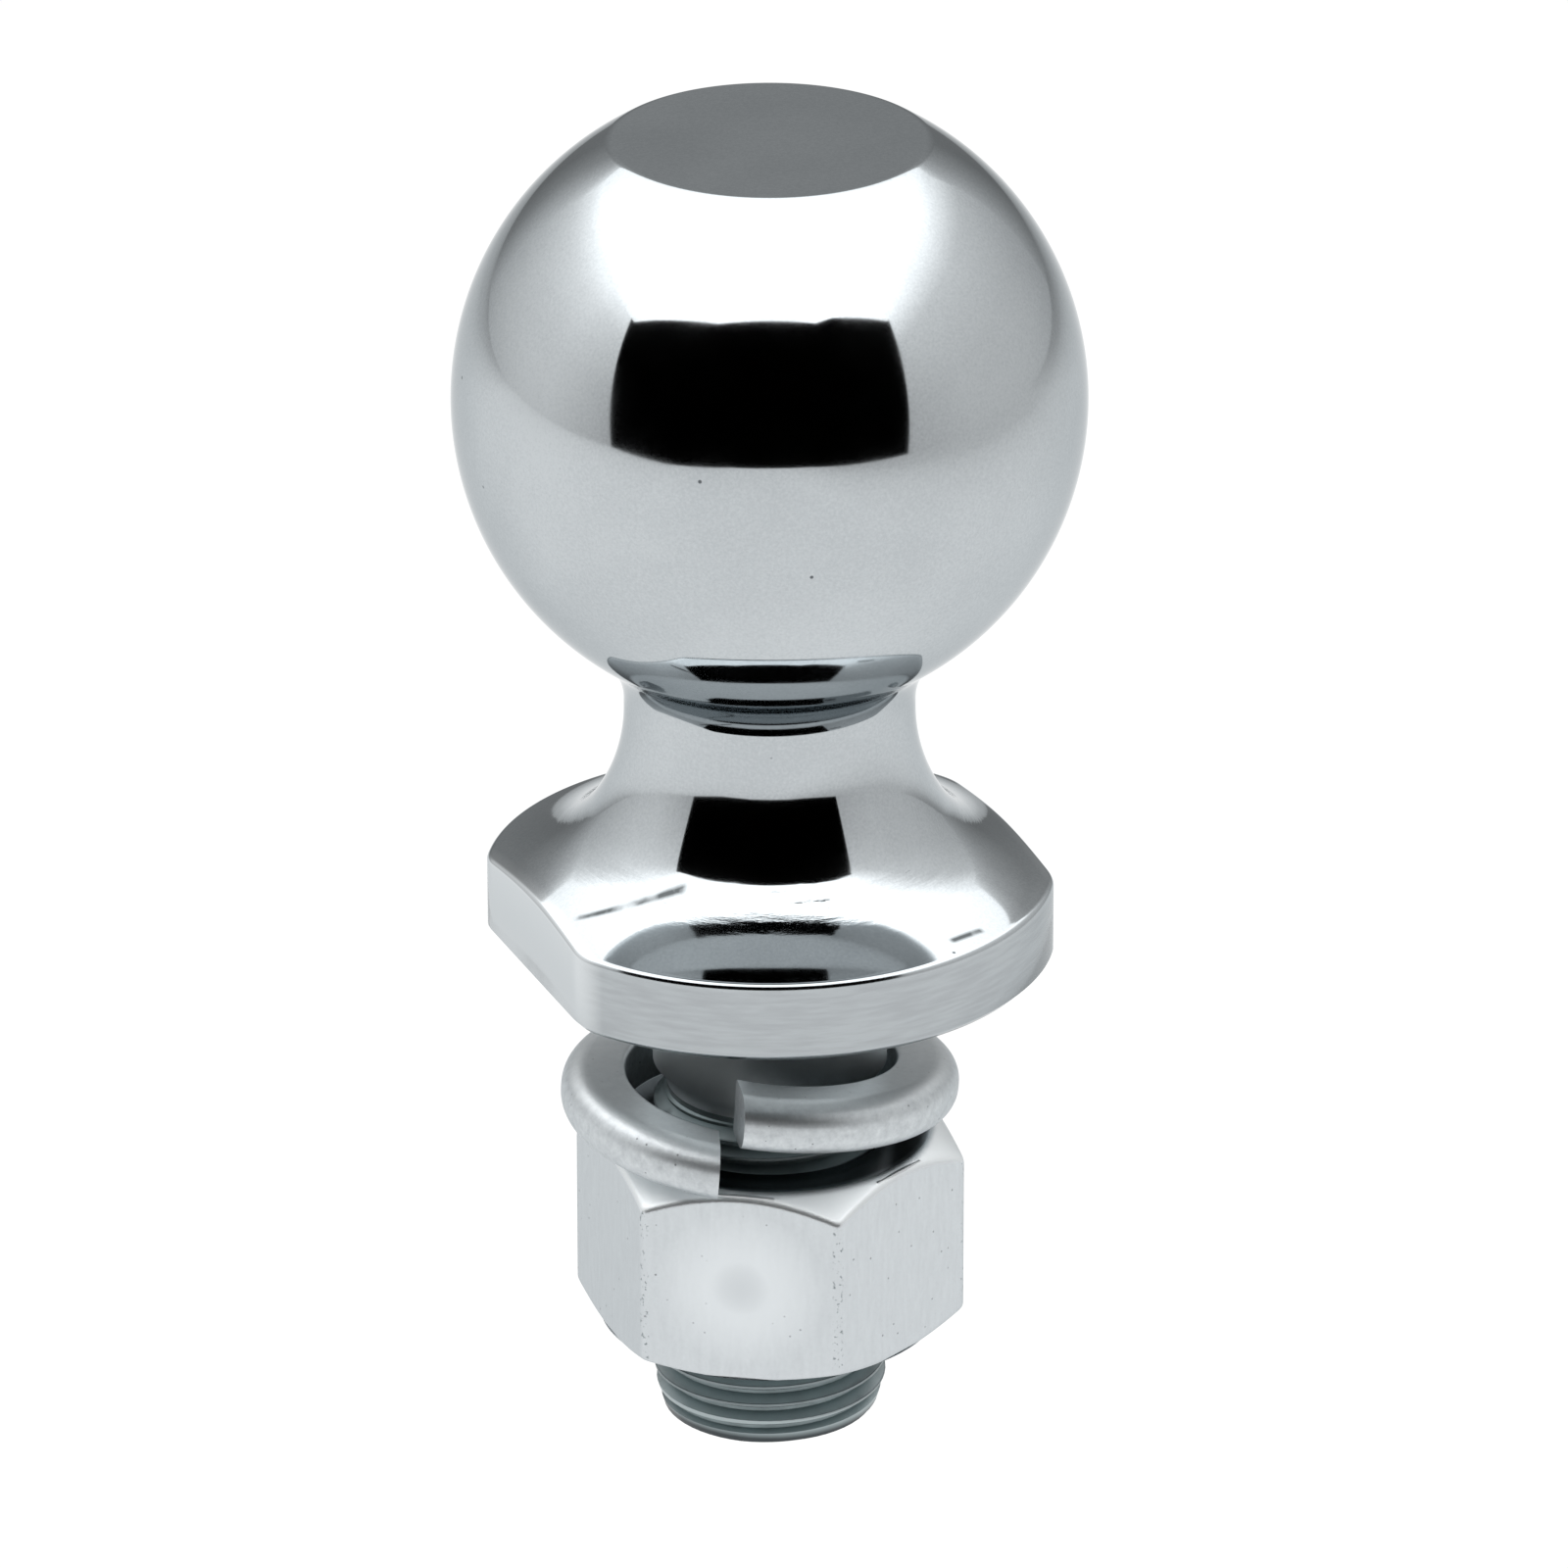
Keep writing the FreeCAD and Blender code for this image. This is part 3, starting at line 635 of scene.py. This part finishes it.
def off_face_middle_squared(tree, radius, height):
    """Distance from the middle of whichever face of the nut is nearest, in metres, squared."""
    off_middle = combine(tree, "SUBTRACT", height, (nut_low.z + nut_high.z) / 2)
    sideways_squared = combine(tree, "SUBTRACT", product(tree, radius, radius), NUT_HALF_ACROSS**2)
    return combine(tree, "ADD", sideways_squared, product(tree, off_middle, off_middle))


def on_one_face(tree):
    """1 on the face of the nut that looks to -X and -Y, 0 on its others."""
    return product(
        tree,
        fade(tree, axis_value(tree, "X"), -0.2 * MM, -1.2 * MM),
        fade(tree, axis_value(tree, "Y"), -6.9 * MM, -7.9 * MM),
    )


def on_upper_chamfer(tree, radius, height):
    """0.85 on the nut's upper chamfer, which is a cone that falls as it widens, and 0 below it."""
    slope = math.tan(NUT_TOP_SLOPE)
    rise = combine(tree, "ADD", height, product(tree, radius, slope))
    cone_rise = nut_high.z + NUT_FACE * slope
    return remap(tree, rise, cone_rise - 0.35 * MM, cone_rise - 0.1 * MM, 0, 0.85)


def dress(node, material):
    """Gives a CAD node its material."""
    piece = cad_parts[node]
    piece.data.materials.clear()
    piece.data.materials.append(material)
    for face in piece.data.polygons:
        face.material_index = 0


# ---------------------------------------------------------------- light tent

def ramp(tree, axis, stops):
    """A value that follows (place in metres, value) stops along one of the tent's axes."""
    first, last = stops[0][0], stops[-1][0]
    share = fade(tree, axis_value(tree, axis), first, last)
    colours = tree.nodes.new("ShaderNodeValToRGB")
    elements = colours.color_ramp.elements
    while len(elements) < len(stops):
        elements.new(0.5)
    for element, (where, value) in zip(elements, stops):
        element.position = (where - first) / (last - first)
        element.color = (value, value, value, 1)
    tree.links.new(share, colours.inputs["Fac"])
    return colours.outputs["Color"]


def glow(name, one_axis, one_stops, other_axis, other_stops):
    """Lit cloth: its brightness is the product of two ramps."""
    material = bpy.data.materials.new(name)
    material.use_nodes = True
    tree = material.node_tree
    tree.nodes.clear()
    lamp = tree.nodes.new("ShaderNodeEmission")
    brightness = product(tree, ramp(tree, one_axis, one_stops), ramp(tree, other_axis, other_stops))
    tree.links.new(brightness, lamp.inputs["Strength"])
    out = tree.nodes.new("ShaderNodeOutputMaterial")
    tree.links.new(lamp.outputs["Emission"], out.inputs["Surface"])
    return material


def card(name, corners, material):
    """A flat card. Its corners are (x to the camera's right, y away from it, z above the shank's end)."""
    mesh = bpy.data.meshes.new(name)
    mesh.from_pydata(corners, [], [tuple(range(len(corners)))])
    mesh.materials.append(material)
    piece = bpy.data.objects.new(name, mesh)
    scene.collection.objects.link(piece)
    piece.matrix_world = Matrix.Translation((0, 0, ball_low.z)) @ STUDIO_TURN


def light_tent():
    """White floor, ceiling, sides and back, open to a dark room behind the camera.

    The front edges of the floor, ceiling and sides frame the dark opening that the chrome reflects.
    """
    left, right, back, ceiling = -1.5, 1.25, 1.6, 1.29
    foot = -18 * MM  # low enough for the nut when it is wound off the shank
    card(
        "tent_floor",
        [(left, back, foot), (left, -0.98, foot), (-0.8, -1.1, foot), (-0.45, -1.95, foot), (0.0, -2.1, foot),
         (0.5, -2.05, foot), (0.75, -1.6, foot), (right, -1.1, foot), (right, back, foot)],
        glow(
            "tent_floor",
            "X", [(left, 0.9), (-0.6, 1.03), (-0.3, 1.07), (0.15, 1.07), (0.4, 0.92), (0.7, 0.74),
                  (right, 0.71)],
            "Y", [(-2.1, 0.85), (-1.2, 0.9), (-0.7, 0.95), (-0.3, 1.0), (0.3, 1.0), (0.7, 0.7), (back, 0.5)],
        ),
    )
    card(
        "tent_ceiling",
        [(left, -0.72, ceiling), (-1.2, -0.8, ceiling), (-0.8, -0.93, ceiling), (-0.5, -1.03, ceiling),
         (0.45, -1.03, ceiling), (0.6, -0.93, ceiling), (1.0, -0.84, ceiling), (right, -0.8, ceiling),
         (right, back, ceiling), (left, back, ceiling)],
        glow(
            "tent_ceiling",
            "X", [(left, 1.8), (-1.3, 2.3), (1.05, 2.3), (right, 1.8)],
            "Y", [(-1.1, 1.0), (0.5, 1.0), (0.9, 0.95), (back, 0.78)],
        ),
    )
    card(
        "tent_left",
        [(left, back, foot), (left, -0.97, foot), (left, -0.65, ceiling), (left, back, ceiling)],
        glow(
            "tent_left",
            "Z", [(0, 0.83), (0.45, 0.95), (0.7, 1.08), (0.97, 1.26), (1.09, 1.42), (ceiling, 1.85)],
            "Y", [(-1.0, 0.7), (-0.7, 0.8), (-0.1, 1.0), (0.3, 1.0), (back, 0.78)],
        ),
    )
    card(
        "tent_right",
        [(right, back, foot), (right, -1.07, foot), (right, -0.77, ceiling), (right, back, ceiling)],
        glow(
            "tent_right",
            "Z", [(0, 0.72), (0.45, 0.79), (0.7, 0.88), (0.97, 1.02), (1.09, 1.3), (ceiling, 1.85)],
            "Y", [(-1.1, 0.85), (-0.3, 1.0), (0.3, 1.0), (back, 0.82)],
        ),
    )
    card(
        "tent_back",
        [(left, back, foot), (right, back, foot), (right, back, ceiling), (left, back, ceiling)],
        glow(
            "tent_back",
            "X", [(left, 1.25), (-1.2, 1.0), (-0.9, 0.66), (-0.6, 0.5), (0.0, 0.6), (0.6, 0.5), (0.9, 0.7),
                  (right, 1.0)],
            "Z", [(0, 0.52), (0.8, 0.68), (1.1, 0.85), (ceiling, 1.3)],
        ),
    )


def dark_room():
    """Black all round the tent, and plain colour management."""
    world = bpy.data.worlds.new("dark_room")
    world.use_nodes = True
    world.node_tree.nodes["Background"].inputs["Color"].default_value = (0.0, 0.0, 0.0, 1)
    scene.world = world
    scene.view_settings.view_transform = "Standard"


def camera():
    """A long lens a metre away, aimed where the neck sweeps out into the flange."""
    distance = 1.0
    drop = 30.72 * MM  # how far below the ball's centre the lens points
    aside = 1.15 * MM  # and how far to the right of it
    aim = Vector((0, math.cos(VIEW_ELEVATION), -math.sin(VIEW_ELEVATION)))
    up = Vector((0, math.sin(VIEW_ELEVATION), math.cos(VIEW_ELEVATION)))
    place = STUDIO_TURN @ (-aim * distance - up * drop + Vector((aside, 0, 0))) + Vector((0, 0, BALL_HEIGHT))
    data = bpy.data.cameras.new("camera")
    data.sensor_width = 36.0
    data.lens = 288.7
    data.clip_end = 20.0
    piece = bpy.data.objects.new("camera", data)
    scene.collection.objects.link(piece)
    tip = Matrix.Rotation(math.pi / 2 - VIEW_ELEVATION, 4, "X")
    piece.matrix_world = Matrix.Translation(place) @ STUDIO_TURN @ tip
    scene.camera = piece


light_tent()
dark_room()
camera()
hitch_ball()
hex_nut()
dress("lock_washer", washer_plate())
